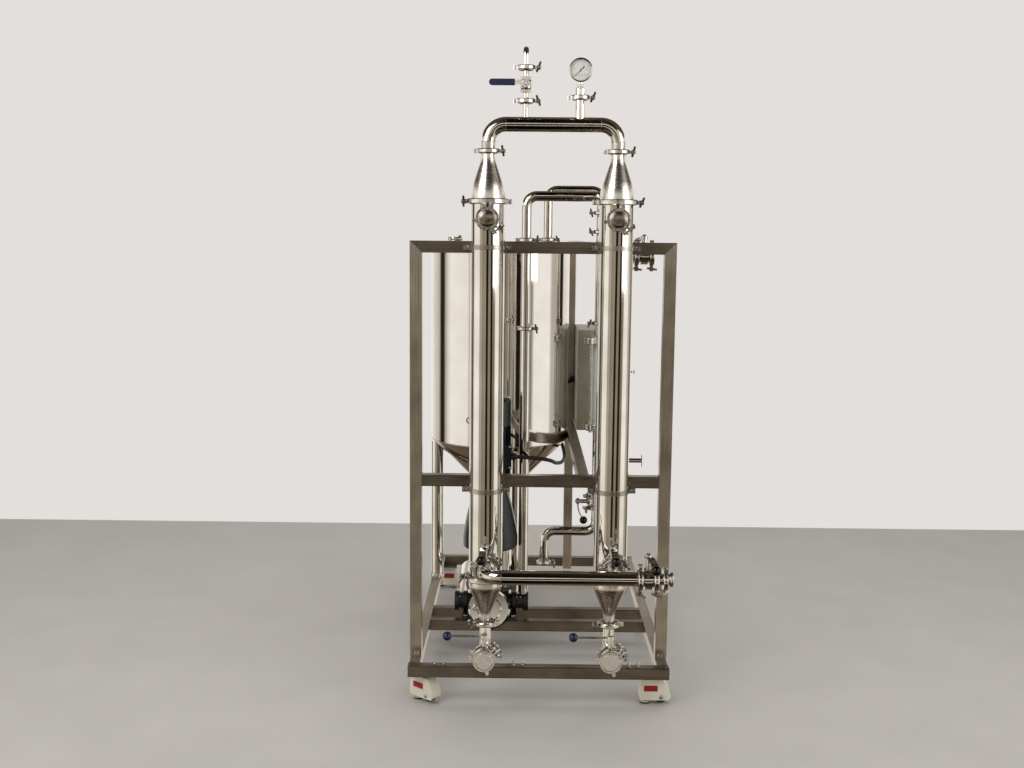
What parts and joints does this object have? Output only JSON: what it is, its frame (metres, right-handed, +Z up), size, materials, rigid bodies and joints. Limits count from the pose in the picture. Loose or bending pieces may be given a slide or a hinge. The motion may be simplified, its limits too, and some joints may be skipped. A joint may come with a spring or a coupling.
{
  "type": "membrane filtration unit",
  "caption": "Membrane filtration skid: tall polished filter columns on a stainless steel frame with casters, feed tank, vertical pump, sanitary pipework, gauge and hand valves.",
  "frame": {"origin": "on the floor, midway between the left and right sides and midway between the frontmost lever knob and the rear of the base", "axes": "+Z up, -Y towards the front with the filter columns, +X to the right as seen from the front"},
  "size_m": [0.92, 1.7199, 2.222],
  "materials": {
    "brushed_stainless": "satin",
    "cabinet_grey": "satin",
    "cable_black": "matt",
    "caster_ivory": "gloss",
    "clamp_stainless": "satin",
    "gauge_stainless": "polished",
    "lever_stainless": "satin",
    "meter_clear": "gloss",
    "motor_teal": "gloss",
    "plate_zinc": "satin",
    "polished_stainless": "polished",
    "pump_black": "satin",
    "valve_stainless": "satin",
    "wheel_black": "satin"
  },
  "bodies": {
    "frame": {"base_cross_rails": "brushed_stainless", "base_side_rails": "brushed_stainless", "bottom_cones": "polished_stainless", "butterfly_valves": "valve_stainless", "cabinet_box": "cabinet_grey", "cabinet_door": "cabinet_grey", "caster_plates": "plate_zinc", "column_brackets": "clamp_stainless", "column_clamps": "clamp_stainless", "column_housings": "polished_stainless", "drain_elbows": "polished_stainless", "end_caps": "clamp_stainless", "flow_line": "polished_stainless", "flow_meter": "meter_clear", "meter_ends": "clamp_stainless", "mid_rail": "brushed_stainless", "motor_cable": "cable_black", "motor_stool": "motor_teal", "permeate_header": "polished_stainless", "pipe_unions": "clamp_stainless", "pressure_gauge": "gauge_stainless", "pump_bars": "brushed_stainless", "pump_base": "pump_black", "pump_cover": "polished_stainless", "pump_motor": "motor_teal", "pump_ports": "pump_black", "pump_sleeve": "polished_stainless", "rear_post": "brushed_stainless", "riser_pipe": "polished_stainless", "suction_pipe": "polished_stainless", "tank_bearer": "brushed_stainless", "tank_cone": "polished_stainless", "tank_legs": "polished_stainless", "tank_lid": "polished_stainless", "tank_shell": "polished_stainless", "tie_rails": "brushed_stainless", "top_rail": "brushed_stainless", "top_reducers": "polished_stainless", "u_pipe": "polished_stainless", "uprights": "brushed_stainless", "vent_gooseneck": "polished_stainless", "vent_valve": "valve_stainless"},
    "vent_lever": {"vent_lever": "lever_stainless"},
    "left_drain_lever": {"left_drain_lever": "lever_stainless"},
    "right_drain_lever": {"right_drain_lever": "lever_stainless"},
    "left_port_lever": {"left_port_lever": "lever_stainless"},
    "right_port_lever": {"right_port_lever": "lever_stainless"},
    "header_lever": {"header_lever": "lever_stainless"},
    "flow_lever": {"flow_lever": "lever_stainless"},
    "branch_lever": {"branch_lever": "lever_stainless"},
    "caster_front_left": {"caster_front_left": "caster_ivory"},
    "wheel_front_left": {"wheel_front_left": "wheel_black"},
    "caster_front_right": {"caster_front_right": "caster_ivory"},
    "wheel_front_right": {"wheel_front_right": "wheel_black"},
    "caster_rear_left": {"caster_rear_left": "caster_ivory"},
    "wheel_rear_left": {"wheel_rear_left": "wheel_black"},
    "caster_rear_right": {"caster_rear_right": "caster_ivory"},
    "wheel_rear_right": {"wheel_rear_right": "wheel_black"}
  },
  "joints": [
    {"name": "vent_lever_turn", "type": "hinge", "parent": "frame", "child": "vent_lever", "pos_m": [-0.064, -0.61005, 2.098], "axis": [0, 1, 0], "range_deg": [0, 90]},
    {"name": "left_drain_turn", "type": "hinge", "parent": "frame", "child": "left_drain_lever", "pos_m": [-0.185, -0.65405, 0.271], "axis": [0, 0, 1], "range_deg": [0, 90]},
    {"name": "right_drain_turn", "type": "hinge", "parent": "frame", "child": "right_drain_lever", "pos_m": [0.24, -0.65405, 0.271], "axis": [0, 0, 1], "range_deg": [0, 90]},
    {"name": "left_port_turn", "type": "hinge", "parent": "frame", "child": "left_port_lever", "pos_m": [-0.185, -0.66625, 0.584], "axis": [0, 0, 1], "range_deg": [0, 90]},
    {"name": "right_port_turn", "type": "hinge", "parent": "frame", "child": "right_port_lever", "pos_m": [0.24, -0.66625, 0.584], "axis": [0, 0, 1], "range_deg": [0, 90]},
    {"name": "header_turn", "type": "hinge", "parent": "frame", "child": "header_lever", "pos_m": [0.349, -0.76325, 0.584], "axis": [0, 0, 1], "range_deg": [0, 90]},
    {"name": "flow_turn", "type": "hinge", "parent": "frame", "child": "flow_lever", "pos_m": [0.176, 0.40995, 0.5], "axis": [-1, 0, 0], "range_deg": [0, 90]},
    {"name": "branch_turn", "type": "hinge", "parent": "frame", "child": "branch_lever", "pos_m": [0.35, -0.39005, 1.608], "axis": [0, 0, 1], "range_deg": [-90, 0]},
    {"name": "front_left_swivel", "type": "hinge", "parent": "frame", "child": "caster_front_left", "pos_m": [-0.398, -0.53805, 0.089], "axis": [0, 0, 1], "continuous": true},
    {"name": "front_left_roll", "type": "hinge", "parent": "caster_front_left", "child": "wheel_front_left", "pos_m": [-0.37578, -0.55669, 0.028], "axis": [0.6428, 0.766, 0], "continuous": true},
    {"name": "front_right_swivel", "type": "hinge", "parent": "frame", "child": "caster_front_right", "pos_m": [0.398, -0.53805, 0.089], "axis": [0, 0, 1], "continuous": true},
    {"name": "front_right_roll", "type": "hinge", "parent": "caster_front_right", "child": "wheel_front_right", "pos_m": [0.427, -0.53805, 0.028], "axis": [0, 1, 0], "continuous": true},
    {"name": "rear_left_swivel", "type": "hinge", "parent": "frame", "child": "caster_rear_left", "pos_m": [-0.398, 0.80795, 0.089], "axis": [0, 0, 1], "continuous": true},
    {"name": "rear_left_roll", "type": "hinge", "parent": "caster_rear_left", "child": "wheel_rear_left", "pos_m": [-0.427, 0.80795, 0.028], "axis": [0, -1, 0], "continuous": true},
    {"name": "rear_right_swivel", "type": "hinge", "parent": "frame", "child": "caster_rear_right", "pos_m": [0.398, 0.80795, 0.089], "axis": [0, 0, 1], "continuous": true},
    {"name": "rear_right_roll", "type": "hinge", "parent": "caster_rear_right", "child": "wheel_rear_right", "pos_m": [0.38808, 0.7807, 0.028], "axis": [0.9397, -0.342, 0], "continuous": true}
  ]
}
